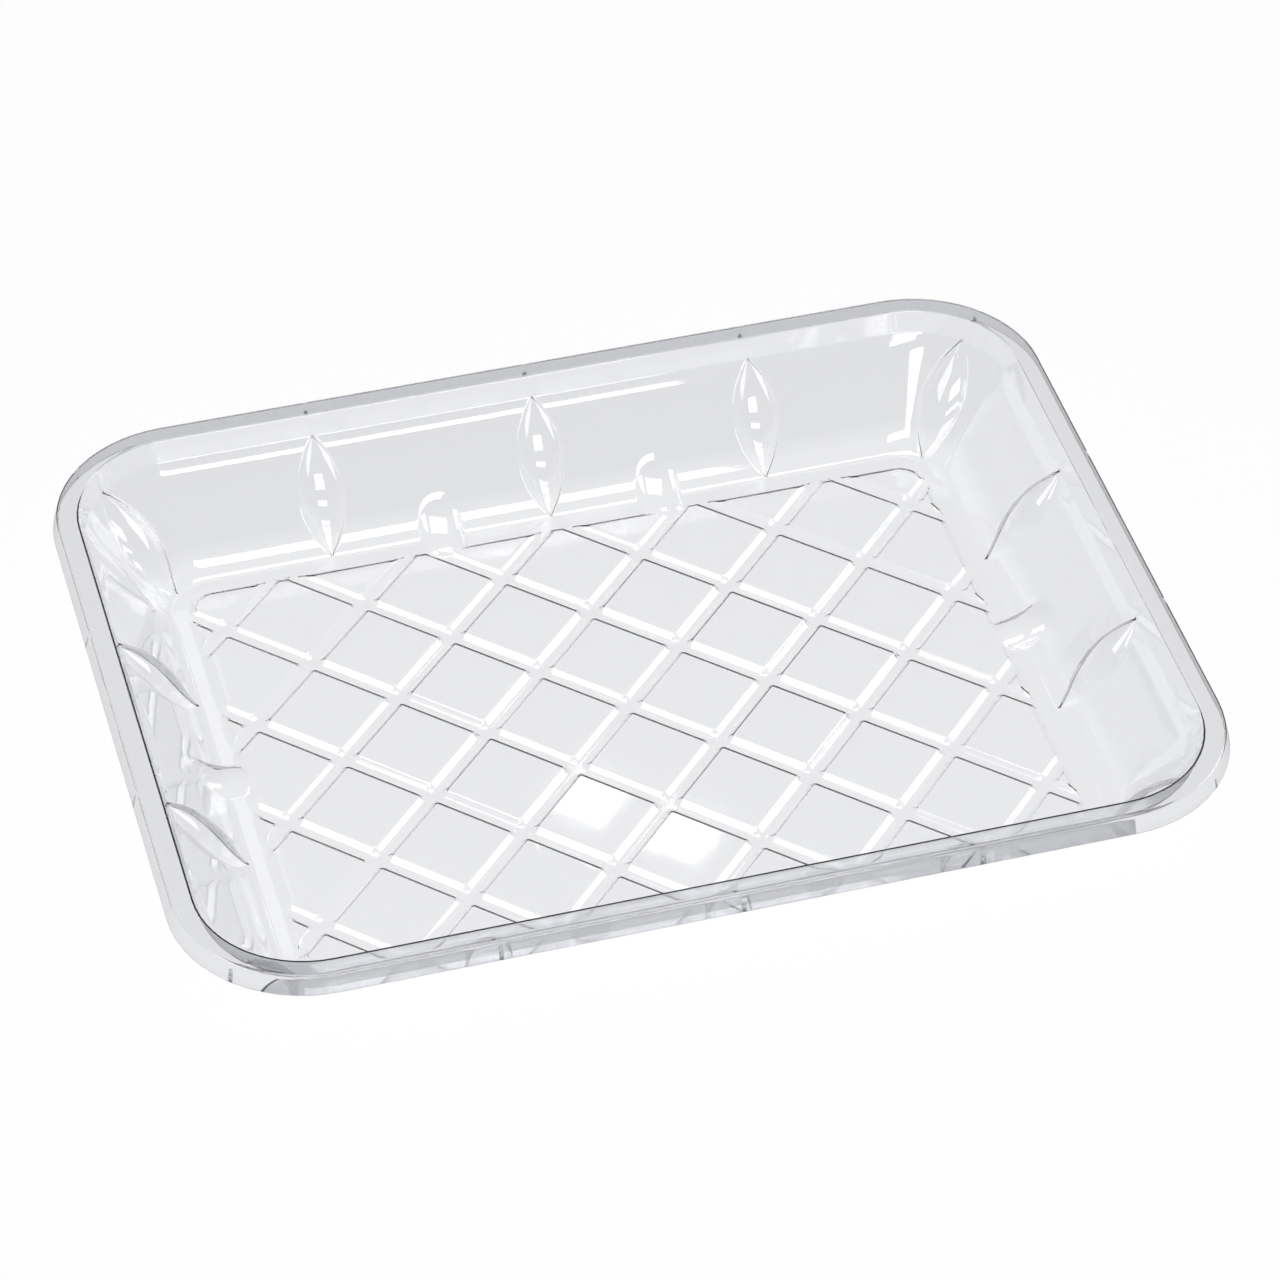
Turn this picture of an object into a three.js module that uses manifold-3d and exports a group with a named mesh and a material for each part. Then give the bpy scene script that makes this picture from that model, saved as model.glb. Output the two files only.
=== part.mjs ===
// Clear food tray, thermoformed from one sheet: a flanged rim with a turned-down skirt,
// sloping walls with lens-shaped ribs and rounded lugs, and a floor of raised diamond plates.
// Millimetres, +Z up, X along the long side. The tray stands on its grooves at z = 0, and the
// origin is the middle of its footprint.
import * as THREE from 'three';
import { mergeVertices } from 'three/addons/utils/BufferGeometryUtils.js';
import Module from 'manifold-3d';

const wasm = await Module();
wasm.setup();

// Sheet and rim, measured on the upper side of the sheet
const SHEET = 0.5;
const RIM_LENGTH = 269;
const RIM_WIDTH = 210;
const HEIGHT = 33.4;
const RIM_RADIUS = 34;
const FLANGE_WIDTH = 5.5;
const SKIRT_DEPTH = 5.2;
const SKIRT_FLARE = 1.3;
const RIM_EDGE_FILLET = 0.9;
const MOUTH_EDGE_FILLET = 0.7;

// Walls: a steep band under the flange, a kink, then one long slope to the floor
const BAND_DEPTH = 6.3;
const BAND_DRAFT = 1.8;
const KINK_FILLET = 1.6;
const WALL_RUN = 19;
const FOOT_FILLET = 4;
const FLOOR_CORNER_RADIUS = 13;

// Ribs: lenses that bulge into the tray, from the kink down to the floor
const RIB_PITCH = 60.8;
const RIBS_PER_LONG_WALL = 3;
const RIBS_PER_SHORT_WALL = 2;
const RIB_WIDTH = 12.6;
const RIB_RISE = 3.3;
const RIB_OVERRUN = 1;

// Lugs: round fingers that leave the wall in a wide bend, cross the gutter and end on the plates
const LUG_WIDTH = 13;
const LUG_START_INSET = 17;
const LUG_BEND_RADIUS = 23;
const LUG_END_SLOPE = THREE.MathUtils.degToRad(8);
const LUG_SINK = 0.3;

// Floor: diamond plates between narrow grooves, inside a flat gutter
const GUTTER_WIDTH = 5.6;
const CELL_HALF_DIAGONAL = 19;
const GROOVE_WIDTH = 1.8;
const CENTRE_RISE = 2;
const EDGE_RISE = 1.1;
const BLOCK_DROP = 0.6;
const FLANK_RUN_PER_RISE = 1;

// Facets
const CORNER_STEPS = 8;
const FILLET_STEPS = 3;
const RIB_STEPS = 10;
const RIB_SIDES = 10;
const LUG_SIDES = 10;
const LUG_CAP_STEPS = 3;
const LUG_STEPS = 5;

// How far a cutter passes the face that it cuts
const OVERCUT = 1;

// Places that follow from the sizes above, as insets from the rim's edge and heights
const KINK_INSET = FLANGE_WIDTH + BAND_DRAFT;
const FOOT_INSET = KINK_INSET + WALL_RUN;
const PLATES_INSET = FOOT_INSET + GUTTER_WIDTH;
const KINK_Z = HEIGHT - BAND_DEPTH;
const WALL_SLOPE = Math.atan2(KINK_Z - SHEET, WALL_RUN);
const UP = new THREE.Vector3(0, 0, 1);

// Outlines are parallel, except that the corners tighten down the sloping wall
function cornerRadius(inset) {
  const kinkRadius = RIM_RADIUS - KINK_INSET;
  if (inset <= KINK_INSET) {
    return RIM_RADIUS - inset;
  }
  if (inset >= FOOT_INSET) {
    return Math.max(FLOOR_CORNER_RADIUS - (inset - FOOT_INSET), SHEET);
  }
  return THREE.MathUtils.mapLinear(inset, KINK_INSET, FOOT_INSET, kinkRadius, FLOOR_CORNER_RADIUS);
}

// A point of an outline's corner arc, in the quarter that the two signs give
function cornerPoint(inset, signX, signY, angle, z) {
  const radius = cornerRadius(inset);
  const x = signX * (RIM_LENGTH / 2 - inset - radius) + radius * Math.cos(angle);
  const y = signY * (RIM_WIDTH / 2 - inset - radius) + radius * Math.sin(angle);
  return new THREE.Vector3(x, y, z);
}

// A rounded rectangle at one height, counter-clockwise
function outline(inset, z) {
  const quarters = [[1, 1], [-1, 1], [-1, -1], [1, -1]];
  return quarters.flatMap(([signX, signY], quarter) => (
    Array.from({ length: CORNER_STEPS + 1 }, (_, step) => {
      const angle = (quarter + step / CORNER_STEPS) * Math.PI / 2;
      return cornerPoint(inset, signX, signY, angle, z);
    })
  ));
}

// A closed body with flat ends through the outlines of a section line, from the top down
function loft(sectionLine) {
  const rings = sectionLine.map((point) => outline(point.x, point.y));
  const count = rings[0].length;
  const lastRing = (rings.length - 1) * count;
  const topMiddle = rings.length * count;
  const bottomMiddle = topMiddle + 1;
  const faces = [];
  for (let i = 0; i < count; i += 1) {
    const next = (i + 1) % count;
    faces.push(topMiddle, i, next);
    faces.push(bottomMiddle, lastRing + next, lastRing + i);
    for (let row = 0; row < lastRing; row += count) {
      faces.push(row + i, row + count + i, row + count + next);
      faces.push(row + i, row + count + next, row + next);
    }
  }
  const middles = [rings[0], rings.at(-1)].map((ring) => new THREE.Vector3(0, 0, ring[0].z));
  const geometry = new THREE.BufferGeometry().setFromPoints([...rings.flat(), ...middles]);
  geometry.setIndex(faces);
  return geometry;
}

// The closed solid of a geometry: shared vertices are joined, and the flat faces at poles go
function solid(geometry) {
  const bare = geometry.clone();
  bare.deleteAttribute('normal');
  bare.deleteAttribute('uv');
  const merged = mergeVertices(bare, 1e-4);
  const triVerts = [];
  for (let i = 0; i < merged.index.count; i += 3) {
    const [a, b, c] = [0, 1, 2].map((corner) => merged.index.getX(i + corner));
    if (a !== b && b !== c && c !== a) {
      triVerts.push(a, b, c);
    }
  }
  const vertProperties = new Float32Array(merged.attributes.position.array);
  const mesh = new wasm.Mesh({ numProp: 3, vertProperties, triVerts: new Uint32Array(triVerts) });
  return new wasm.Manifold(mesh);
}

// The geometry of a solid
function geometryOf(body) {
  const mesh = body.getMesh();
  const geometry = new THREE.BufferGeometry();
  geometry.setAttribute('position', new THREE.BufferAttribute(mesh.vertProperties, 3));
  geometry.setIndex(new THREE.BufferAttribute(mesh.triVerts, 1));
  geometry.computeVertexNormals();
  return geometry;
}

// Corners of the sheet's section as (inset, z) on its upper side, with the fillet of each
const corner = (inset, z, fillet) => ({ at: new THREE.Vector2(inset, z), fillet });
const skirtFoot = corner(-SKIRT_FLARE, HEIGHT - SKIRT_DEPTH, 0);
const rimEdge = corner(0, HEIGHT, RIM_EDGE_FILLET);
const mouthEdge = corner(FLANGE_WIDTH, HEIGHT, MOUTH_EDGE_FILLET);
const kink = corner(KINK_INSET, KINK_Z, KINK_FILLET);
const foot = corner(FOOT_INSET, SHEET, FOOT_FILLET);
const gutterEnd = corner(PLATES_INSET, SHEET, 0);

// The same corners moved square to the sheet by its thickness, with fillets that stay parallel
function underSide(corners) {
  const normals = corners.slice(1).map(({ at }, i) => {
    const along = at.clone().sub(corners[i].at).normalize();
    return new THREE.Vector2(along.y, -along.x);
  });
  return corners.map(({ at, fillet }, i) => {
    const before = normals[Math.max(i - 1, 0)];
    const after = normals[Math.min(i, normals.length - 1)];
    const mitre = before.clone().add(after).divideScalar(1 + before.dot(after));
    const grows = before.cross(after) > 0;
    return {
      at: at.clone().addScaledVector(mitre, SHEET),
      fillet: grows ? fillet + SHEET : Math.max(fillet - SHEET, 0),
    };
  });
}

// The points of a section line, with an arc at each filleted corner between its ends
function filletedLine(corners) {
  return corners.flatMap(({ at, fillet }, i) => {
    if (fillet === 0 || i === 0 || i === corners.length - 1) {
      return [at];
    }
    const toBefore = corners[i - 1].at.clone().sub(at).normalize();
    const toAfter = corners[i + 1].at.clone().sub(at).normalize();
    const halfAngle = Math.acos(toBefore.dot(toAfter)) / 2;
    const toCentre = toBefore.clone().add(toAfter).normalize();
    const centre = at.clone().addScaledVector(toCentre, fillet / Math.sin(halfAngle));
    const start = at.clone().addScaledVector(toBefore, fillet / Math.tan(halfAngle));
    const sweep = (2 * halfAngle - Math.PI) * Math.sign(toBefore.cross(toAfter));
    return Array.from({ length: FILLET_STEPS + 1 }, (_, step) => (
      start.clone().rotateAround(centre, sweep * step / FILLET_STEPS)
    ));
  });
}

// The tray as a full block, with the hollow behind its skirt
function outerBlock() {
  const flangeDownToSkirt = filletedLine([skirtFoot, rimEdge, mouthEdge]).slice(0, -1).reverse();
  const under = filletedLine(underSide([skirtFoot, rimEdge, mouthEdge, kink, foot, gutterEnd]));
  return solid(loft([...flangeDownToSkirt, ...under]));
}

// The space inside the walls, down to a flat floor
function cavity() {
  const inside = filletedLine([rimEdge, mouthEdge, kink, foot, gutterEnd]).slice(1);
  const above = inside[0].clone();
  above.y += OVERCUT;
  return solid(loft([above, ...inside]));
}

// Places along the walls: each turns an inset and a height into a point of the wall there
const longWall = (x, side) => (inset, z) => new THREE.Vector3(x, side * (RIM_WIDTH / 2 - inset), z);
const shortWall = (y, side) => (inset, z) => new THREE.Vector3(side * (RIM_LENGTH / 2 - inset), y, z);
const cornerWall = (signX, signY) => (inset, z) => (
  cornerPoint(inset, signX, signY, Math.atan2(signY, signX), z)
);

// Offsets of evenly spaced features about a wall's middle
const spread = (count) => Array.from({ length: count }, (_, i) => (i - (count - 1) / 2) * RIB_PITCH);

const SIDES = [1, -1];
const ribPlaces = SIDES.flatMap((side) => [
  ...spread(RIBS_PER_LONG_WALL).map((x) => longWall(x, side)),
  ...spread(RIBS_PER_SHORT_WALL).map((y) => shortWall(y, side)),
  ...SIDES.map((signX) => cornerWall(signX, side)),
]);
const lugPlaces = SIDES.flatMap((side) => [
  ...spread(RIBS_PER_LONG_WALL - 1).map((x) => longWall(x, side)),
  ...spread(RIBS_PER_SHORT_WALL - 1).map((y) => shortWall(y, side)),
]);

// A spindle about the line from a rib's foot to its top, flattened square to the wall
function rib(place, underBy) {
  const top = place(KINK_INSET, KINK_Z);
  const upWall = top.clone().sub(place(FOOT_INSET, SHEET));
  const length = upWall.length() + RIB_OVERRUN - 2 * underBy;
  const halfWidth = RIB_WIDTH / 2 - underBy;
  const arcRadius = (length * length / 4 + halfWidth * halfWidth) / (2 * halfWidth);
  const halfAngle = Math.asin(length / 2 / arcRadius);
  const profile = Array.from({ length: RIB_STEPS + 1 }, (_, step) => {
    const angle = halfAngle * (2 * step / RIB_STEPS - 1);
    const bulge = arcRadius * (Math.cos(angle) - Math.cos(halfAngle));
    return new THREE.Vector2(Math.max(bulge, 0), arcRadius * Math.sin(angle));
  });
  const geometry = new THREE.LatheGeometry(profile, RIB_SIDES);
  geometry.scale(1, 1, RIB_RISE / halfWidth);
  upWall.normalize();
  const acrossWall = upWall.clone().cross(UP).normalize();
  const intoTray = acrossWall.clone().cross(upWall);
  const middle = top.addScaledVector(upWall, -length / 2 - underBy).addScaledVector(intoTray, -underBy);
  geometry.applyMatrix4(new THREE.Matrix4().makeBasis(acrossWall, upWall, intoTray).setPosition(middle));
  return solid(geometry);
}

// Middle of the bend that a lug's ridge follows, as (inset, z)
const lugBendCentre = new THREE.Vector2(
  LUG_START_INSET,
  KINK_Z - (LUG_START_INSET - KINK_INSET) * Math.tan(WALL_SLOPE),
).addScaledVector(
  new THREE.Vector2(Math.sin(WALL_SLOPE), Math.cos(WALL_SLOPE)),
  LUG_BEND_RADIUS - LUG_SINK,
);

// A capsule bent from the wall's slope to nearly level, so that its end lies on the plates
function lug(place, underBy) {
  const axisRadius = LUG_BEND_RADIUS + LUG_WIDTH / 2;
  const bend = WALL_SLOPE - LUG_END_SLOPE;
  const length = axisRadius * bend;
  const radius = LUG_WIDTH / 2 - underBy;
  const geometry = new THREE.CapsuleGeometry(radius, length, LUG_CAP_STEPS, LUG_SIDES, LUG_STEPS);
  const acrossWall = place(0, 0).sub(place(1, 0)).cross(UP);
  const position = geometry.attributes.position;
  const vertex = new THREE.Vector3();
  for (let i = 0; i < position.count; i += 1) {
    vertex.fromBufferAttribute(position, i);
    const alongAxis = THREE.MathUtils.clamp(vertex.y, -length / 2, length / 2);
    const pastEnd = vertex.y - alongAxis;
    const slope = LUG_END_SLOPE + bend * (alongAxis / length + 0.5);
    const fromCentre = axisRadius - vertex.z;
    const inset = lugBendCentre.x - fromCentre * Math.sin(slope) - pastEnd * Math.cos(slope);
    const z = lugBendCentre.y - fromCentre * Math.cos(slope) + pastEnd * Math.sin(slope);
    const point = place(inset, z).addScaledVector(acrossWall, vertex.x);
    position.setXYZ(i, point.x, point.y, point.z);
  }
  return solid(geometry);
}

// Setback of a flank's foot that keeps the sheet's thickness on the flank
const flankSetback = (underBy) => underBy * (Math.hypot(FLANK_RUN_PER_RISE, 1) - FLANK_RUN_PER_RISE);

// How high a plate stands: the floor is crowned, and the block of four in the middle is lower
function plateRise(column, row) {
  const x = column * CELL_HALF_DIAGONAL / (RIM_LENGTH / 2 - PLATES_INSET);
  const y = row * CELL_HALF_DIAGONAL / (RIM_WIDTH / 2 - PLATES_INSET);
  const crown = Math.max(1 - x * x - y * y, 0);
  const drop = Math.abs(column) + Math.abs(row) === 1 ? BLOCK_DROP : 0;
  return EDGE_RISE + (CENTRE_RISE - EDGE_RISE) * crown - drop;
}

// A raised diamond with sloping flanks
function plate(column, row, underBy) {
  const rise = plateRise(column, row);
  const halfDiagonalAt = (height) => {
    const setback = GROOVE_WIDTH / 2 + FLANK_RUN_PER_RISE * height + flankSetback(underBy);
    return CELL_HALF_DIAGONAL - Math.SQRT2 * setback;
  };
  const depth = rise + OVERCUT;
  const geometry = new THREE.CylinderGeometry(halfDiagonalAt(rise), halfDiagonalAt(-OVERCUT), depth, 4);
  geometry.rotateX(Math.PI / 2);
  const base = SHEET - underBy;
  geometry.translate(column * CELL_HALF_DIAGONAL, row * CELL_HALF_DIAGONAL, base + rise - depth / 2);
  return solid(geometry);
}

// All plates, cut off along the gutter by one sloping flank
function plates(underBy) {
  const columns = Math.ceil((RIM_LENGTH / 2 - PLATES_INSET) / CELL_HALF_DIAGONAL);
  const rows = Math.ceil((RIM_WIDTH / 2 - PLATES_INSET) / CELL_HALF_DIAGONAL);
  const cells = [];
  for (let column = -columns; column <= columns; column += 1) {
    for (let row = -rows; row <= rows; row += 1) {
      if ((column + row) % 2 !== 0) {
        cells.push(plate(column, row, underBy));
      }
    }
  }
  const flankLine = [CENTRE_RISE + OVERCUT, -OVERCUT].map((height) => {
    const inset = PLATES_INSET + FLANK_RUN_PER_RISE * height + flankSetback(underBy);
    return new THREE.Vector2(inset, SHEET - underBy + height);
  });
  return wasm.Manifold.union(cells).intersect(solid(loft(flankLine)));
}

// Everything that stands up from the walls and the floor, on one side of the sheet
function raisedForms(underBy) {
  return wasm.Manifold.union([
    ...ribPlaces.map((place) => rib(place, underBy)),
    ...lugPlaces.map((place) => lug(place, underBy)),
    plates(underBy),
  ]);
}

function tray() {
  const inside = cavity().subtract(raisedForms(0));
  const outside = outerBlock().subtract(raisedForms(SHEET));
  const clear = new THREE.MeshStandardMaterial({
    color: 0xe6e8ea,
    roughness: 0.08,
    metalness: 0,
    transparent: true,
    opacity: 0.35,
  });
  const mesh = new THREE.Mesh(geometryOf(outside.subtract(inside)), clear);
  mesh.name = 'tray';
  return mesh;
}

const part = new THREE.Group();
part.add(tray());

export default part;
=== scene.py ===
# %% [markdown]
# # A clear food tray, pressed from one sheet
#
# The real tray starts as a flat sheet of clear plastic. It is warmed until it droops and sucked
# down over a mould, so it has one thickness, soft edges and no seams. Here the upper skin is
# modelled first, as one open surface. A Solidify modifier then gives it its thickness, just as
# the mould shapes only one side of the sheet. The tray is the same on both sides of its two
# middle planes, so only a quarter is modelled, and a Mirror modifier makes the rest.

import math

import bpy
from mathutils import Matrix, Vector


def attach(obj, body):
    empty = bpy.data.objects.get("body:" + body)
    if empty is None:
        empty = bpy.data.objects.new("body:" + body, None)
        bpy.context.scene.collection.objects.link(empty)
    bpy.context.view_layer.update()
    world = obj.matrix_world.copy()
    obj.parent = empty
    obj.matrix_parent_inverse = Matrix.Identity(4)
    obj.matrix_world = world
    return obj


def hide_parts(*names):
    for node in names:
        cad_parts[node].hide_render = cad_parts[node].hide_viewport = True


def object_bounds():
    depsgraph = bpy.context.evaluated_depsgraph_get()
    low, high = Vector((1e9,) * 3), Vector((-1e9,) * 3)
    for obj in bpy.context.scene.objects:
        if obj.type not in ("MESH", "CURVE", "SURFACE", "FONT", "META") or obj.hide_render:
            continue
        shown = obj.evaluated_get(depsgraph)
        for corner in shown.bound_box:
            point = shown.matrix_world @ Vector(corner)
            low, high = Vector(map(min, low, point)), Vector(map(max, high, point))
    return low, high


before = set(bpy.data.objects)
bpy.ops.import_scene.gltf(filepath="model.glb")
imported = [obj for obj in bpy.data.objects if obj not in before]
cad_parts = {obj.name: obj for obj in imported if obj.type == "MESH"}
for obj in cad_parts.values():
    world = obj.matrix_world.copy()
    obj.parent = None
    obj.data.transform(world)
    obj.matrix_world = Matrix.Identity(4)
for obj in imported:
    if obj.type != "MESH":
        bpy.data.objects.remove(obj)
cad_low, cad_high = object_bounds()

MM = 0.001
SHEET = 0.5 * MM
SKIRT_FLARE = 1.3 * MM
SKIRT_DEPTH = 5.2 * MM
FLANGE_WIDTH = 5.5 * MM
RIM_X = cad_high.x - SKIRT_FLARE
RIM_Y = cad_high.y - SKIRT_FLARE
HEIGHT = cad_high.z
print("rim", round(2 * RIM_X / MM), "by", round(2 * RIM_Y / MM), "mm")
print("height", round(HEIGHT / MM, 1), "mm")


# %% [markdown]
# Every outline of the tray, from the skirt down to the floor, is a rounded rectangle. One
# function gives its corner radius for a distance in from the rim, which is called the inset.
# The outlines run parallel down to the kink in the wall. Below it the corners tighten, so that
# the floor is squarer than the mouth.

# %% The outline at any inset
BAND_DRAFT = 1.8 * MM
BAND_DEPTH = 6.3 * MM
WALL_RUN = 19 * MM
GUTTER_WIDTH = 5.6 * MM
RIM_RADIUS = 34 * MM
FLOOR_RADIUS = 13 * MM
KINK_INSET = FLANGE_WIDTH + BAND_DRAFT
KINK_Z = HEIGHT - BAND_DEPTH
FOOT_INSET = KINK_INSET + WALL_RUN
PLATES_INSET = FOOT_INSET + GUTTER_WIDTH


def corner_radius(inset):
    if inset <= KINK_INSET:
        return RIM_RADIUS - inset
    if inset >= FOOT_INSET:
        return FLOOR_RADIUS - (inset - FOOT_INSET)
    share = (inset - KINK_INSET) / (FOOT_INSET - KINK_INSET)
    return (RIM_RADIUS - KINK_INSET) * (1 - share) + FLOOR_RADIUS * share


def corner_centre(inset):
    radius = corner_radius(inset)
    return Vector((RIM_X - inset - radius, RIM_Y - inset - radius))


print("corner radius at the foot of the wall:", round(corner_radius(FOOT_INSET) / MM, 1), "mm")


# %% [markdown]
# A mould has no sharp corners, so the section of the sheet is a line with an arc at each bend.
# The helper below takes the corners of the section and the fillet of each, and an end has none.
# It also sets a point just before and just after each arc. These are holding edges: they keep
# the flat parts flat when the surface is shaded smooth. The wall has two slight bends of its
# own, below the kink and above the foot, because the white lines of the photograph lie there.

# %% The section of the wall, from the skirt to the gutter
HOLD = 0.3 * MM
SEAM_GAP = 0.9 * MM
BEND_DOWN = 3.4 * MM
BEND_SLOPE = math.radians(60)
LOW_BEND = 3.2 * MM
RIM_FILLET = 0.9 * MM
MOUTH_FILLET = 0.7 * MM
KINK_FILLET = 2.2 * MM
BEND_FILLET = 30 * MM
LOW_BEND_FILLET = 18 * MM
FOOT_FILLET = 3 * MM
ARC_STEPS = 4
FOOT_STEPS = 6
WALL_SPACING = 1.4 * MM


def filleted(corners):
    line = []
    for i, (at, fillet, steps) in enumerate(corners):
        if steps == 0:
            line.append(at)
            continue
        before = (corners[i - 1][0] - at).normalized()
        after = (corners[i + 1][0] - at).normalized()
        half = before.angle(after) / 2
        setback = fillet / math.tan(half)
        centre = at + (before + after).normalized() * (fillet / math.sin(half))
        start = at + before * setback - centre
        end = at + after * setback - centre
        line.append(at + before * (setback + HOLD))
        line += [centre + fillet * start.slerp(end, k / steps) for k in range(steps + 1)]
        line.append(at + after * (setback + HOLD))
    return line


def spaced(line, step):
    points = [line[0]]
    for a, b in zip(line, line[1:]):
        count = max(1, round((b - a).length / step))
        points += [a.lerp(b, k / count) for k in range(1, count + 1)]
    return points


SEAM_INSET = PLATES_INSET - SEAM_GAP
kink = Vector((KINK_INSET, KINK_Z))
bend = kink + BEND_DOWN * Vector((math.cos(BEND_SLOPE), -math.sin(BEND_SLOPE)))
low_bend = Vector((FOOT_INSET - LOW_BEND, SHEET + LOW_BEND))
foot = Vector((FOOT_INSET, SHEET))
section = filleted([
    (Vector((-SKIRT_FLARE, HEIGHT - SKIRT_DEPTH)), 0, 0),
    (Vector((0, HEIGHT)), RIM_FILLET, ARC_STEPS),
    (Vector((FLANGE_WIDTH, HEIGHT)), MOUTH_FILLET, ARC_STEPS),
    (kink, KINK_FILLET, ARC_STEPS),
    (bend, BEND_FILLET, ARC_STEPS),
    (low_bend, LOW_BEND_FILLET, ARC_STEPS),
    (foot, FOOT_FILLET, FOOT_STEPS),
    (Vector((SEAM_INSET, SHEET)), 0, 0),
])
first_wall = next(i for i, point in enumerate(section) if point.y < KINK_Z)
section = section[:first_wall] + spaced(section[first_wall:], WALL_SPACING)
print("section points:", len(section))


# %% [markdown]
# The ribs are lens-shaped swellings that stiffen the wall. Their edges are clear curves in the
# photograph, so the mesh follows them: the columns of the wall draw together towards both tips
# of each rib, and one column runs along each edge. The lugs are the rounded fingers between the
# ribs, which carry the food clear of the gutter. Their sides are straight, so their columns are.

# %% The columns of a quarter of the wall
RIB_PITCH = 60.8 * MM
RIB_HALF_WIDTH = 6.3 * MM
RIB_RISE = 3.3 * MM
RIB_OVERRUN = 0.5 * MM
RIB_TIP = 0.45 * MM
RIB_SHARES = [0, 0.25, 0.48, 0.68, 0.85, 0.96, 1]
RIB_SKIRT = [0.2 * MM, 0.5 * MM]
LUG_HALF_WIDTH = 6.1 * MM
LUG_COLUMNS = [t * MM for t in (0, 1.6, 3.1, 4.2, 5, 5.5, 5.85, 6.15, 6.5, 7.1, 8.2)]
GAP_STEPS = 3
CORNER_STEPS = 7

reach = [0]
for before, after in zip(section, section[1:]):
    reach.append(reach[-1] + (after - before).length)


def reach_at(point):
    nearest = min(range(len(section)), key=lambda i: (section[i] - point).length)
    return reach[nearest]


wall_start = reach_at(kink)
wall_end = reach_at(foot)


def rib_share(distance):
    middle = (wall_start + wall_end) / 2
    half = (wall_end - wall_start) / 2 + RIB_OVERRUN
    return max(0, 1 - ((distance - middle) / half) ** 2)


def both_sides(right):
    return [-t for t in reversed(right[1:])] + right


def rib_columns(half_width):
    inner = [share * half_width for share in RIB_SHARES]
    outer = [half_width + skirt for skirt in RIB_SKIRT]
    return both_sides(inner + outer)


lug_columns = both_sides(LUG_COLUMNS)


def gap(start, end, steps):
    return [start + (end - start) * k / steps for k in range(1, steps)]


def long_wall(half_width, tangent):
    rib = rib_columns(half_width)
    middle_rib = [t for t in rib if t >= 0]
    lug = [RIB_PITCH / 2 + t for t in lug_columns]
    side_rib = [RIB_PITCH + t for t in rib]
    return (middle_rib + gap(middle_rib[-1], lug[0], GAP_STEPS) + lug
            + gap(lug[-1], side_rib[0], GAP_STEPS) + side_rib
            + gap(side_rib[-1], tangent, 2 * GAP_STEPS))


def short_wall(half_width, tangent):
    rib = [RIB_PITCH / 2 + t for t in rib_columns(half_width)]
    lug = [t for t in lug_columns if t >= 0]
    up = lug + gap(lug[-1], rib[0], GAP_STEPS) + rib + gap(rib[-1], tangent, 2 * GAP_STEPS)
    return up[::-1]


def corner_turn(half_width, radius):
    rib = [t / radius for t in rib_columns(half_width)]
    end = math.pi / 4
    return [-end] + gap(-end, rib[0], CORNER_STEPS) + rib + gap(rib[-1], end, CORNER_STEPS) + [end]


any_row = long_wall(RIB_TIP, RIM_X) + corner_turn(RIB_TIP, RIM_RADIUS) + short_wall(RIB_TIP, RIM_Y)
column_count = len(any_row)
print("columns in a quarter:", column_count)


# %% [markdown]
# The wall is added as a flat grid, with one row for each point of the section and one column
# for each place along the wall. Each vertex is then moved to its place, as a mould would draw
# the sheet. A rib lifts the vertex square to the wall, by most in its middle.

# %% The wall as a bent grid
RIB_SOFTNESS = 0.02
RIB_FULLNESS = 0.7


def section_normal(row):
    before = section[max(row - 1, 0)]
    after = section[min(row + 1, len(section) - 1)]
    along = (after - before).normalized()
    return Vector((-along.y, along.x))


def rib_lift(share, offset, half_width):
    arch = 1 - (offset / half_width) ** 2
    soft = (arch + math.hypot(arch, RIB_SOFTNESS)) / 2
    return RIB_RISE * share * soft ** RIB_FULLNESS * (share > 0)


def wall_row(row):
    inset, z = section[row]
    share = rib_share(reach[row])
    half_width = max(RIB_HALF_WIDTH * share, RIB_TIP)
    normal = section_normal(row)
    normal *= 1 if normal.y > 0 else -1
    radius = corner_radius(inset)
    centre = corner_centre(inset)
    points = []

    def lifted(offset, ground, outward):
        lift = rib_lift(share, offset, half_width) if abs(offset) < 2 * half_width else 0
        moved = ground - outward * normal.x * lift
        points.append((moved.x, moved.y, z + normal.y * lift))

    for x in long_wall(half_width, centre.x):
        nearest = RIB_PITCH * round(x / RIB_PITCH)
        lifted(x - nearest, Vector((x, RIM_Y - inset)), Vector((0, 1)))
    for turn in corner_turn(half_width, radius):
        outward = Vector((math.sin(math.pi / 4 + turn), math.cos(math.pi / 4 + turn)))
        lifted(turn * radius, centre + outward * radius, outward)
    for y in short_wall(half_width, centre.y):
        lifted(y - RIB_PITCH / 2, Vector((RIM_X - inset, y)), Vector((1, 0)))
    return points


def deselect_all():
    for thing in list(bpy.context.selected_objects):
        thing.select_set(False)


deselect_all()
bpy.ops.mesh.primitive_grid_add(
    x_subdivisions=column_count - 1, y_subdivisions=len(section) - 1, size=RIM_X)
wall = bpy.context.object
wall.name = "tray_sheet"
places = [place for row in range(len(section)) for place in wall_row(row)]
for vertex, place in zip(wall.data.vertices, places):
    vertex.co = place
print("wall faces:", len(wall.data.polygons))


# %% [markdown]
# The floor is a quilt of raised diamonds between narrow grooves. It starts as a grid that is
# turned by an eighth of a circle. Lines are drawn together at the grooves, where the surface
# bends, and left wide on the flat plates.

# %% The floor as a turned grid
CELL_HALF_DIAGONAL = 19 * MM
CELL = CELL_HALF_DIAGONAL * math.sqrt(2)
CELLS = 10
GROOVE_LINES = [t * MM for t in (0, 0.6, 0.9, 1.2, 2.1, 2.4, 2.7, 3)]
cell_lines = GROOVE_LINES + [CELL - t for t in reversed(GROOVE_LINES[1:])]
all_lines = [cell * CELL + t - CELLS * CELL / 2 for cell in range(CELLS) for t in cell_lines]
all_lines.append(CELLS * CELL / 2)

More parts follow.
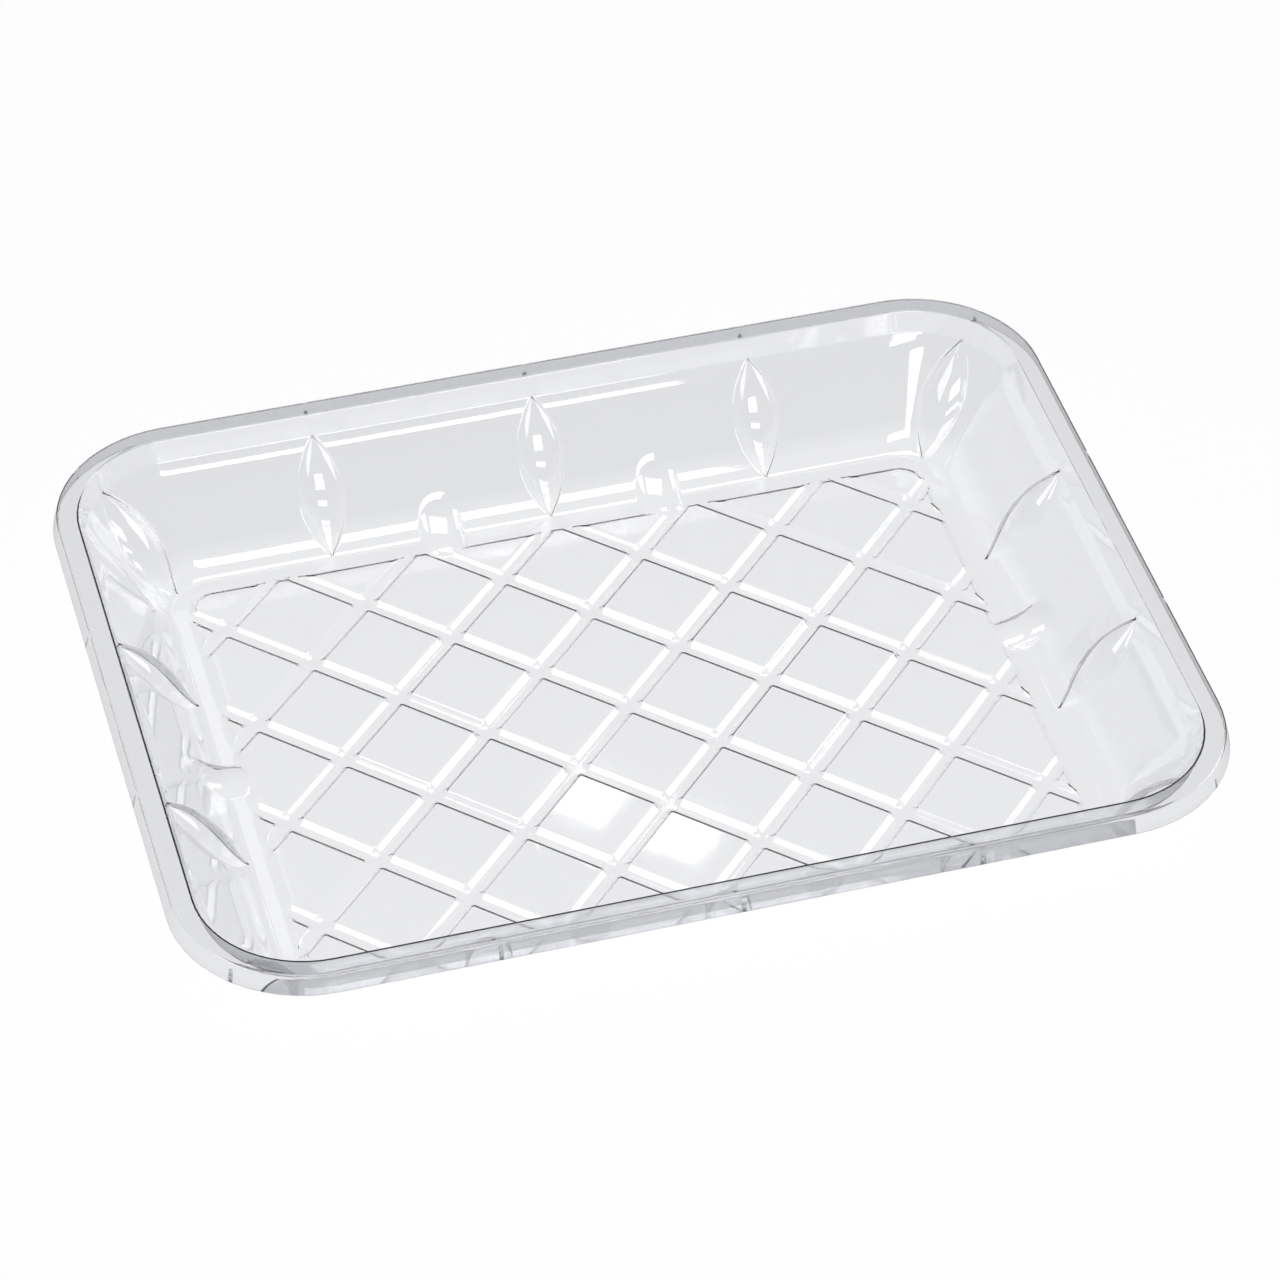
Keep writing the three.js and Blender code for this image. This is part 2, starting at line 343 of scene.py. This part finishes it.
deselect_all()
bpy.ops.mesh.primitive_grid_add(
    x_subdivisions=len(all_lines) - 1, y_subdivisions=len(all_lines) - 1, size=CELLS * CELL)
floor_sheet = bpy.context.object
eighth = Matrix.Rotation(math.pi / 4, 3, "Z")
line_count = len(all_lines)
for index, vertex in enumerate(floor_sheet.data.vertices):
    flat = Vector((all_lines[index % line_count], all_lines[index // line_count], SHEET))
    vertex.co = eighth @ flat
print("floor grid faces:", len(floor_sheet.data.polygons))


# %% [markdown]
# The grid is now cut to a quarter of the plates' outline. The corner is cut by a fan of planes
# that touch the round corner. More cuts follow inside the first one, without taking anything
# away, so that the mesh has lines where the outline's own slope begins and ends.

# %% Cut the floor to its outline
FACETS = 5
CUT_TOLERANCE = 1e-7
OUTLINE_CUTS = [PLATES_INSET + t * MM for t in (-0.35, 0, 0.35, 1.4, 1.75, 2.2)]
floor_centre = corner_centre(FOOT_INSET)
fan = [math.pi / 2 * k / FACETS for k in range(FACETS + 1)]


def cut(co, normal, clear=False):
    bpy.ops.mesh.bisect(plane_co=co, plane_no=normal, use_fill=False,
                        clear_outer=clear, clear_inner=False, threshold=CUT_TOLERANCE)


def fan_plane(inset, angle):
    normal = Vector((math.cos(angle), math.sin(angle), 0))
    radius = corner_radius(inset)
    return Vector((floor_centre.x, floor_centre.y, SHEET)) + normal * radius, normal


def select_faces(thing, wanted):
    bpy.ops.object.mode_set(mode="OBJECT")
    for face in thing.data.polygons:
        face.select = wanted(face)
    bpy.ops.object.mode_set(mode="EDIT")


bpy.context.view_layer.objects.active = floor_sheet
bpy.ops.object.mode_set(mode="EDIT")
bpy.ops.mesh.select_mode(type="FACE")
tray_middle = Vector((0, 0, SHEET))
quarter_planes = [(tray_middle, Vector((-1, 0, 0))), (tray_middle, Vector((0, -1, 0)))]
for co, normal in quarter_planes + [fan_plane(OUTLINE_CUTS[0], angle) for angle in fan]:
    bpy.ops.mesh.select_all(action="SELECT")
    cut(co, normal, clear=True)
for inset in OUTLINE_CUTS[1:]:
    for angle in fan:
        bpy.ops.mesh.select_all(action="SELECT")
        cut(*fan_plane(inset, angle))
bpy.ops.object.mode_set(mode="OBJECT")
print("floor faces after the cuts:", len(floor_sheet.data.polygons))


# %% [markdown]
# The tips of the lugs lie on the outer plates, so the floor needs small faces there. The same
# bisect tool cuts only the faces near a lug, along its columns and across them. The edges of
# that zone are cut first, so that the later cuts end at them.

# %% Small faces under the tips of the lugs
LUG_ROW_STEPS = (0.6, 0.95, 2.2, 2.8, 3.15, 3.5, 3.85, 4.2, 4.6, 5.2, 6.2)
LUG_ROWS = [PLATES_INSET + t * MM for t in LUG_ROW_STEPS]


def near_lug(face, along, across, lug_middle, tip_side):
    corners = [floor_sheet.data.vertices[i].co for i in face.vertices]
    low = min(co[along] for co in corners) - lug_middle
    high = max(co[along] for co in corners) - lug_middle
    farthest = max(co[across] for co in corners)
    return high > -LUG_COLUMNS[-1] and low < LUG_COLUMNS[-1] and farthest > tip_side


def cut_near_lug(along, across, rim, lug_middle):
    along_axis = Vector((1, 0, 0)) if along == 0 else Vector((0, 1, 0))
    across_axis = Vector((0, 1, 0)) if along == 0 else Vector((1, 0, 0))
    tip_side = rim - LUG_ROWS[-1]
    middles = [lug_middle + t for t in lug_columns if lug_middle + t > 0]
    columns = [(middle * along_axis, along_axis) for middle in middles]
    rows = [((rim - inset) * across_axis, across_axis) for inset in LUG_ROWS]
    zone_edges = [columns[0], columns[-1], rows[-1]]
    for co, normal in zone_edges + columns + rows:
        select_faces(floor_sheet, lambda face: near_lug(face, along, across, lug_middle, tip_side))
        cut(co, normal)


cut_near_lug(0, 1, RIM_Y, RIB_PITCH / 2)
cut_near_lug(1, 0, RIM_X, 0)
bpy.ops.object.mode_set(mode="OBJECT")
print("floor faces with the lug zones:", len(floor_sheet.data.polygons))


# %% [markdown]
# Wall and floor are joined. The planes of the fan only touch the round corner, so the vertices
# there are first drawn in onto the arc. Two short edges close the gap between wall and floor at
# the middle planes, and Fill covers it. The gap lies in the flat gutter, where the way it is
# filled can't be seen.

# %% Join the wall and the floor
CLOSE = 0.004 * MM
SEAM_LINES = (SEAM_INSET, OUTLINE_CUTS[0])


def inset_of(x, y):
    past = Vector((x, y)) - floor_centre
    if past.x > 0 and past.y > 0:
        return FOOT_INSET + FLOOR_RADIUS - past.length
    return min(RIM_X - x, RIM_Y - y)


def on_seam(co):
    inset = inset_of(co.x, co.y)
    return abs(co.z - SHEET) < CLOSE and any(abs(inset - line) < CLOSE for line in SEAM_LINES)


def select_vertices(thing, wanted):
    bpy.ops.object.mode_set(mode="OBJECT")
    for vertex in thing.data.vertices:
        vertex.select = wanted(vertex.co)
    bpy.ops.object.mode_set(mode="EDIT")


def edge_uses(mesh):
    uses = {}
    for face in mesh.polygons:
        for key in face.edge_keys:
            uses[key] = uses.get(key, 0) + 1
    return uses


for vertex in floor_sheet.data.vertices:
    past = Vector((vertex.co.x, vertex.co.y)) - floor_centre
    if past.x > CLOSE and past.y > CLOSE:
        angle = math.atan2(past.y, past.x)
        nearest = min(fan, key=lambda a: abs(a - angle))
        vertex.co.x = floor_centre.x + past.x * math.cos(angle - nearest)
        vertex.co.y = floor_centre.y + past.y * math.cos(angle - nearest)

deselect_all()
wall.select_set(True)
floor_sheet.select_set(True)
bpy.context.view_layer.objects.active = wall
bpy.ops.object.join()
bpy.ops.object.mode_set(mode="EDIT")
bpy.ops.mesh.select_mode(type="VERT")
bpy.ops.mesh.select_all(action="SELECT")
bpy.ops.mesh.remove_doubles(threshold=CLOSE)
for axis in (0, 1):
    bpy.ops.mesh.select_all(action="DESELECT")
    select_vertices(wall, lambda co: abs(co[axis]) < CLOSE and on_seam(co))
    bpy.ops.mesh.edge_face_add()

bpy.ops.mesh.select_all(action="DESELECT")
bpy.ops.mesh.select_mode(type="EDGE")
bpy.ops.object.mode_set(mode="OBJECT")
uses = edge_uses(wall.data)
seam_vertices = {vertex.index for vertex in wall.data.vertices if on_seam(vertex.co)}
for edge in wall.data.edges:
    a, b = edge.vertices
    edge.select = a in seam_vertices and b in seam_vertices and uses.get(edge.key, 0) < 2
print("open edges along the gap:", sum(edge.select for edge in wall.data.edges))
faces_before = len(wall.data.polygons)
bpy.ops.object.mode_set(mode="EDIT")
bpy.ops.mesh.fill(use_beauty=True)
bpy.ops.object.mode_set(mode="OBJECT")
print("faces in the gap:", len(wall.data.polygons) - faces_before)


# %% [markdown]
# Now the floor takes its relief. Each vertex asks how far it is from the nearest groove and from
# the outline, and a soft ramp turns that distance into a height. The corners of the plates are
# round, as a cutter leaves them in the mould. The floor is crowned by a millimetre, and the
# block of four plates in the middle lies a little lower.

# %% Raise the plates
GROOVE_HALF = 0.9 * MM
FLANK_RUN = 1.5 * MM
OUTLINE_STEEPNESS = 0.85
RAMP_SOFT = 0.2
PLATE_CORNER = 3.4 * MM
CENTRE_RISE = 2 * MM
EDGE_RISE = 1.1 * MM
BLOCK_DROP = 0.6 * MM
PLATES_X = RIM_X - PLATES_INSET
PLATES_Y = RIM_Y - PLATES_INSET


def ramp(x):
    if x > 0.5:
        return 1 - ramp(1 - x)
    if x <= -RAMP_SOFT:
        return 0
    if x < RAMP_SOFT:
        return (x + RAMP_SOFT) ** 2 / (4 * RAMP_SOFT)
    return x


def plate_height(x, y):
    turned = eighth.transposed() @ Vector((x, y, 0))
    column = math.floor(turned.x / CELL)
    row = math.floor(turned.y / CELL)
    from_column = turned.x - column * CELL
    from_row = turned.y - row * CELL
    from_column = min(from_column, CELL - from_column)
    from_row = min(from_row, CELL - from_row)
    to_groove = min(from_column, from_row)
    if from_column < PLATE_CORNER and from_row < PLATE_CORNER:
        to_groove = PLATE_CORNER - math.hypot(PLATE_CORNER - from_column, PLATE_CORNER - from_row)
    to_outline = (inset_of(x, y) - PLATES_INSET) * OUTLINE_STEEPNESS + GROOVE_HALF
    middle = eighth @ Vector(((column + 0.5) * CELL, (row + 0.5) * CELL, 0))
    crown = max(0, 1 - (middle.x / PLATES_X) ** 2 - (middle.y / PLATES_Y) ** 2)
    rise = EDGE_RISE + (CENTRE_RISE - EDGE_RISE) * crown
    if middle.length < CELL:
        rise -= BLOCK_DROP
    return rise * ramp((min(to_groove, to_outline) - GROOVE_HALF) / FLANK_RUN)


for vertex in wall.data.vertices:
    x, y, z = vertex.co
    if abs(z - SHEET) < CLOSE and inset_of(x, y) > SEAM_INSET + CLOSE:
        vertex.co.z = SHEET + plate_height(x, y)
plates = [vertex.co for vertex in wall.data.vertices
          if inset_of(vertex.co.x, vertex.co.y) > PLATES_INSET]
print("highest plate:", round((max(co.z for co in plates) - SHEET) / MM, 2), "mm above the gutter")


# %% [markdown]
# A lug leaves the wall along the slope, bends in a wide arc and comes down on the plates. Its
# cross-section is squarer than a circle, and its tip is round. Above its start it sinks below
# the wall, so that it grows out of the slope without a step. The sheet is lifted wherever the
# lug is higher than what lies below it, with a soft join.

# %% Raise the lugs
LUG_START = 18 * MM
LUG_BEND = 21 * MM
LUG_LEVEL = math.radians(8)
LUG_SINK = 0.4
LUG_TIP_INSET = 31.5 * MM
LUG_TIP_LENGTH = 4.3 * MM
LUG_DEPTH = 4.5 * MM
LUG_SQUARENESS = 2.6
LUG_ROUND_SHARE = 0.985
LUG_SIDE_SLOPE = 8
LUG_ABOVE_START = 3 * MM
LUG_LAST_INSET = 42 * MM
LUG_REACH = 9 * MM
JOIN_SOFTNESS = 0.35 * MM
wall_slope = math.atan2(bend.y - low_bend.y, low_bend.x - bend.x)
start_z = low_bend.y + (low_bend.x - LUG_START) * math.tan(wall_slope)
bend_x = LUG_START + LUG_BEND * math.sin(wall_slope)
bend_z = start_z + LUG_BEND * math.cos(wall_slope)
bend_centre = Vector((bend_x, bend_z))
level_inset = bend_centre.x - LUG_BEND * math.sin(LUG_LEVEL)
level_z = bend_centre.y - LUG_BEND * math.cos(LUG_LEVEL)


def ridge(inset):
    if inset < LUG_START:
        return start_z + (LUG_START - inset) * (math.tan(wall_slope) - LUG_SINK)
    if inset > level_inset:
        return level_z - (inset - level_inset) * math.tan(LUG_LEVEL)
    return bend_centre.y - math.sqrt(LUG_BEND ** 2 - (bend_centre.x - inset) ** 2)


def lug_height(inset, offset):
    t = abs(offset)
    if inset > LUG_TIP_INSET:
        t = math.hypot(t, (inset - LUG_TIP_INSET) * LUG_HALF_WIDTH / LUG_TIP_LENGTH)
    share = min(t / LUG_HALF_WIDTH, LUG_ROUND_SHARE)
    drop = 1 - (1 - share ** LUG_SQUARENESS) ** (1 / LUG_SQUARENESS)
    past = max(0, t - LUG_ROUND_SHARE * LUG_HALF_WIDTH)
    return ridge(inset) - LUG_DEPTH * drop - LUG_SIDE_SLOPE * past


def soft_max(a, b):
    apart = abs(a - b)
    softened = (a + b + math.hypot(apart, JOIN_SOFTNESS)) / 2
    return softened - JOIN_SOFTNESS ** 2 / 4 / max(JOIN_SOFTNESS, apart)


for vertex in wall.data.vertices:
    x, y, z = vertex.co
    for inset, offset in ((RIM_Y - y, x - RIB_PITCH / 2), (RIM_X - x, y)):
        if LUG_START - LUG_ABOVE_START < inset < LUG_LAST_INSET and abs(offset) < LUG_REACH:
            vertex.co.z = max(z, soft_max(z, lug_height(inset, offset)))
print("lug's height where its bend ends:", round(level_z / MM, 1), "mm")


# %% [markdown]
# Two mirrors make the whole upper skin from the quarter. Its normals are set to point up, and
# Solidify then adds the thickness of the sheet on the lower side. Even thickness keeps the
# sheet from thinning on the slopes.

# %% Mirror the quarter and give the sheet its thickness
def apply_modifier(thing, kind, **settings):
    modifier = thing.modifiers.new(kind.title(), kind)
    for name, value in settings.items():
        setattr(modifier, name, value)
    bpy.ops.object.modifier_apply(modifier=modifier.name)


deselect_all()
wall.select_set(True)
bpy.context.view_layer.objects.active = wall
for vertex in wall.data.vertices:
    vertex.co.x = 0 if abs(vertex.co.x) < CLOSE else vertex.co.x
    vertex.co.y = 0 if abs(vertex.co.y) < CLOSE else vertex.co.y
apply_modifier(wall, "MIRROR", use_axis=(True, True, False),
               use_mirror_merge=True, merge_threshold=CLOSE)
bpy.ops.object.mode_set(mode="EDIT")
bpy.ops.mesh.select_mode(type="FACE")
bpy.ops.mesh.select_all(action="SELECT")
bpy.ops.mesh.normals_make_consistent(inside=False)
bpy.ops.object.mode_set(mode="OBJECT")
flange_face = max(wall.data.polygons, key=lambda face: face.center.z)
if flange_face.normal.z < 0:
    wall.data.flip_normals()
apply_modifier(wall, "SOLIDIFY", thickness=SHEET, offset=-1, use_even_offset=True, use_rim=True)
bpy.ops.object.shade_smooth()
apply_modifier(wall, "WEIGHTED_NORMAL", mode="FACE_AREA", weight=50)
unshared = sum(1 for count in edge_uses(wall.data).values() if count != 2)
print("triangles:", sum(len(face.vertices) - 2 for face in wall.data.polygons))
print("edges that are not shared by two faces:", unshared)


# %% [markdown]
# The clear plastic is polyester, as in most food trays. It bends light about as much as glass
# does, is slightly grey, and is never quite flat, because the sheet stretched unevenly. The
# walls are painted a little greyer than the floor, as painted shade for the light that is lost
# through the steep sheet and the shadow behind it. Light that only casts a shadow passes nearly
# unchanged through so thin a sheet, and a Light Path node says so.

# %% Clear plastic
POLISH = 0.03
REFRACTIVE_INDEX = 1.52
FLOOR_TINT = (0.89, 0.895, 0.91, 1)
# Painted shade: the greyer colour of the walls, the flange and the skirt.
WALL_TINT_WITH_PAINTED_SHADE = (0.815, 0.82, 0.84, 1)
PAINTED_SHADE_START = 3 * MM
PAINTED_SHADE_END = 8 * MM
WAVE_SCALE = 60
WAVE_DETAIL = 2
WAVE_STRENGTH = 0.1
WAVE_DEPTH = 0.1 * MM
SHADOW_TINT = (0.93, 0.935, 0.94, 1)


def node(tree, kind, **settings):
    made = tree.nodes.new(kind)
    for name, value in settings.items():
        setattr(made, name, value)
    return made


def clear_plastic():
    material = bpy.data.materials.new("clear_pet_sheet")
    material.use_nodes = True
    tree = material.node_tree
    link = tree.links.new
    shader = tree.nodes["Principled BSDF"]
    shader.inputs["Roughness"].default_value = POLISH
    shader.inputs["IOR"].default_value = REFRACTIVE_INDEX
    shader.inputs["Transmission Weight"].default_value = 1
    place = node(tree, "ShaderNodeTexCoord")
    wave = node(tree, "ShaderNodeTexNoise")
    wave.inputs["Scale"].default_value = WAVE_SCALE
    wave.inputs["Detail"].default_value = WAVE_DETAIL
    bump = node(tree, "ShaderNodeBump")
    bump.inputs["Strength"].default_value = WAVE_STRENGTH
    bump.inputs["Distance"].default_value = WAVE_DEPTH
    level = node(tree, "ShaderNodeSeparateXYZ")
    # Painted shade: from the floor up into the walls, the sheet's colour turns greyer by height.
    painted_shade_share = node(tree, "ShaderNodeMapRange")
    painted_shade_share.inputs["From Min"].default_value = PAINTED_SHADE_START
    painted_shade_share.inputs["From Max"].default_value = PAINTED_SHADE_END
    tint_and_painted_shade = node(tree, "ShaderNodeMix", data_type="RGBA")
    tint_and_painted_shade.inputs["A"].default_value = FLOOR_TINT
    tint_and_painted_shade.inputs["B"].default_value = WALL_TINT_WITH_PAINTED_SHADE
    link(place.outputs["Object"], level.inputs["Vector"])
    link(level.outputs["Z"], painted_shade_share.inputs["Value"])
    link(painted_shade_share.outputs["Result"], tint_and_painted_shade.inputs["Factor"])
    link(tint_and_painted_shade.outputs["Result"], shader.inputs["Base Color"])
    link(place.outputs["Object"], wave.inputs["Vector"])
    link(wave.outputs["Fac"], bump.inputs["Height"])
    link(bump.outputs["Normal"], shader.inputs["Normal"])
    through = node(tree, "ShaderNodeBsdfTransparent")
    through.inputs["Color"].default_value = SHADOW_TINT
    path = node(tree, "ShaderNodeLightPath")
    choice = node(tree, "ShaderNodeMixShader")
    link(path.outputs["Is Shadow Ray"], choice.inputs["Fac"])
    link(shader.outputs["BSDF"], choice.inputs[1])
    link(through.outputs["BSDF"], choice.inputs[2])
    link(choice.outputs["Shader"], tree.nodes["Material Output"].inputs["Surface"])
    return material


wall.data.materials.clear()
wall.data.materials.append(clear_plastic())
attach(wall, "root")
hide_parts("tray")
print("material of the sheet:", wall.data.materials[0].name)


# %% [markdown]
# The tray stands on a white studio floor. Seen by the camera or through the plastic, the floor
# is plain white, and a small share of it is lit, so that it keeps the tray's faint shadow. In a
# reflection it is half as bright, which takes a little light off the side walls.

# %% The white floor
FLOOR_SIZE = 12
FLOOR_GAP = 0.05 * MM
LIT_SHARE = 0.06
MIRROR_LOSS = 0.5
PAPER = (0.9, 0.9, 0.9, 1)
PAPER_ROUGHNESS = 0.9


def white_paper():
    material = bpy.data.materials.new("white_floor")
    material.use_nodes = True
    tree = material.node_tree
    link = tree.links.new
    paper = tree.nodes["Principled BSDF"]
    paper.inputs["Base Color"].default_value = PAPER
    paper.inputs["Roughness"].default_value = PAPER_ROUGHNESS
    paper.inputs["Specular IOR Level"].default_value = 0
    path = node(tree, "ShaderNodeLightPath")
    dimmed = node(tree, "ShaderNodeMath", operation="MULTIPLY_ADD")
    dimmed.inputs[1].default_value = -MIRROR_LOSS
    dimmed.inputs[2].default_value = 1
    glow = node(tree, "ShaderNodeEmission")
    link(path.outputs["Is Reflection Ray"], dimmed.inputs[0])
    link(dimmed.outputs["Value"], glow.inputs["Strength"])
    seen = node(tree, "ShaderNodeMath", operation="MAXIMUM")
    seen_through = node(tree, "ShaderNodeMath", operation="MAXIMUM")
    plain_share = node(tree, "ShaderNodeMath", operation="MULTIPLY")
    plain_share.inputs[1].default_value = 1 - LIT_SHARE
    mix = node(tree, "ShaderNodeMixShader")
    link(path.outputs["Is Camera Ray"], seen.inputs[0])
    link(path.outputs["Is Glossy Ray"], seen.inputs[1])
    link(seen.outputs["Value"], seen_through.inputs[0])
    link(path.outputs["Is Transmission Ray"], seen_through.inputs[1])
    link(seen_through.outputs["Value"], plain_share.inputs[0])
    link(plain_share.outputs["Value"], mix.inputs["Fac"])
    link(paper.outputs["BSDF"], mix.inputs[1])
    link(glow.outputs["Emission"], mix.inputs[2])
    link(mix.outputs["Shader"], tree.nodes["Material Output"].inputs["Surface"])
    return material


deselect_all()
bpy.ops.mesh.primitive_plane_add(size=FLOOR_SIZE, location=(0, 0, -FLOOR_GAP))
ground = bpy.context.object
ground.name = "studio_floor"
ground.data.materials.append(white_paper())
print("floor:", FLOOR_SIZE, "m wide")


# %% [markdown]
# Clear plastic shows its shape only by what it reflects. The room is lighter near the floor and
# dark above, so that steep parts get thin dark lines. Soft boxes give the white glints of the
# photograph: three in front for the bends of the far wall, one at each side for the flanks of
# the plates, and one overhead.

# %% The room and the soft boxes
ROOM = 0.03
HORIZON = 0.35
HORIZON_TOP = 0.1
ROOM_START = 0.28
LAMP_DISTANCE = 1.6


def grey(value):
    return (value, value, value, 1)


room = bpy.context.scene.world or bpy.data.worlds.new("room")
bpy.context.scene.world = room
room.use_nodes = True
background = room.node_tree.nodes["Background"]
background.inputs["Strength"].default_value = 1
toward = node(room.node_tree, "ShaderNodeTexCoord")
split = node(room.node_tree, "ShaderNodeSeparateXYZ")
fade = node(room.node_tree, "ShaderNodeValToRGB")
fade.color_ramp.elements[0].position = HORIZON_TOP
fade.color_ramp.elements[0].color = grey(HORIZON)
fade.color_ramp.elements[1].position = ROOM_START
fade.color_ramp.elements[1].color = grey(ROOM)
room.node_tree.links.new(toward.outputs["Generated"], split.inputs["Vector"])
room.node_tree.links.new(split.outputs["Z"], fade.inputs["Fac"])
room.node_tree.links.new(fade.outputs["Color"], background.inputs["Color"])


def area_lamp(name, width, height, radiance):
    data = bpy.data.lights.new(name, "AREA")
    data.shape = "RECTANGLE"
    data.size = width
    data.size_y = height
    data.energy = radiance * math.pi * width * height
    lamp = bpy.data.objects.new(name, data)
    bpy.context.collection.objects.link(lamp)
    return lamp


def soft_box(name, azimuth, elevation, width, height, radiance):
    around = math.radians(azimuth)
    up = math.radians(elevation)
    direction = Vector((math.cos(up) * math.sin(around), -math.cos(up) * math.cos(around), math.sin(up)))
    lamp = area_lamp(name, width, height, radiance)
    lamp.location = direction * LAMP_DISTANCE
    lamp.rotation_euler = direction.to_track_quat("Z", "Y").to_euler()


soft_box("overhead_box", azimuth=15, elevation=88, width=1.0, height=0.8, radiance=4)
soft_box("front_box", azimuth=-3, elevation=42, width=0.98, height=0.34, radiance=5)
soft_box("front_strip", azimuth=-3, elevation=25.1, width=0.98, height=0.12, radiance=6)
soft_box("low_front_strip", azimuth=-3, elevation=5, width=0.98, height=0.34, radiance=6)
soft_box("right_box", azimuth=92, elevation=27, width=0.8, height=0.7, radiance=3.3)
soft_box("left_box", azimuth=-78, elevation=47, width=0.8, height=0.75, radiance=3)
print("soft boxes:", len(bpy.data.lights))


# %% [markdown]
# Some level faces shine in the photograph: two of the plates, a stretch of the gutter at the far
# side and one at the left, and the front flange. Each has a box of its own. A level face mirrors
# what lies on the line from the camera's mirror image through the face, so the box hangs there.

# %% Boxes for the faces that shine
LAMP_HEIGHT = 1.1
PLATE_GLARE = 17 * MM
LEFT_GUTTER_X = -105 * MM
FAR_GUTTER_Y = 75.6 * MM
FRONT_FLANGE_Y = 3 * MM - RIM_Y
camera_place = Vector((-0.2661, -0.9686, 0.9392))


def mirrored_box(name, x, y, width, depth, radiance, turn=0, level=0):
    start = Vector((camera_place.x, camera_place.y, 2 * level - camera_place.z))
    glare = Vector((x, y, level))
    stretch = (LAMP_HEIGHT - start.z) / (level - start.z)
    lamp = area_lamp(name, width * stretch, depth * stretch, radiance)
    lamp.location = start + (glare - start) * stretch
    lamp.rotation_euler = (0, 0, math.radians(turn))


mirrored_box("plate_glare_left", x=-19 * MM, y=-31 * MM,
             width=PLATE_GLARE, depth=PLATE_GLARE, radiance=5, turn=45)
mirrored_box("plate_glare_right", x=0, y=-50 * MM,
             width=PLATE_GLARE, depth=PLATE_GLARE, radiance=5, turn=45)
mirrored_box("far_gutter_glare", x=-1 * MM, y=FAR_GUTTER_Y, width=46 * MM, depth=5 * MM, radiance=6)
mirrored_box("left_gutter_glare", x=LEFT_GUTTER_X, y=0, width=5 * MM, depth=130 * MM, radiance=1)
mirrored_box("front_flange_glare", x=0, y=FRONT_FLANGE_Y,
             width=210 * MM, depth=5 * MM, radiance=3, level=HEIGHT)
print("soft boxes with the mirrored ones:", len(bpy.data.lights))


# %% [markdown]
# The camera looks at the front long side, a little from the left and from about 42 degrees
# above. Its place and lens come from the edges of the tray in the photograph.

# %% The camera
CAMERA_LENS = 148.4
CAMERA_SENSOR = 36
camera_data = bpy.data.cameras.new("photo_camera")
camera_data.lens = CAMERA_LENS
camera_data.sensor_width = CAMERA_SENSOR
camera_data.sensor_height = CAMERA_SENSOR
camera = bpy.data.objects.new("photo_camera", camera_data)
bpy.context.collection.objects.link(camera)
camera_right = Vector((0.96347, -0.26780, 0))
camera_up = Vector((0.18035, 0.64884, 0.73924))
camera_back = Vector((-0.19797, -0.71224, 0.67344))
camera.matrix_world = Matrix.Translation(camera_place) @ Matrix(
    (camera_right, camera_up, camera_back)).transposed().to_4x4()
bpy.context.scene.camera = camera
bpy.context.scene.view_settings.view_transform = "Standard"
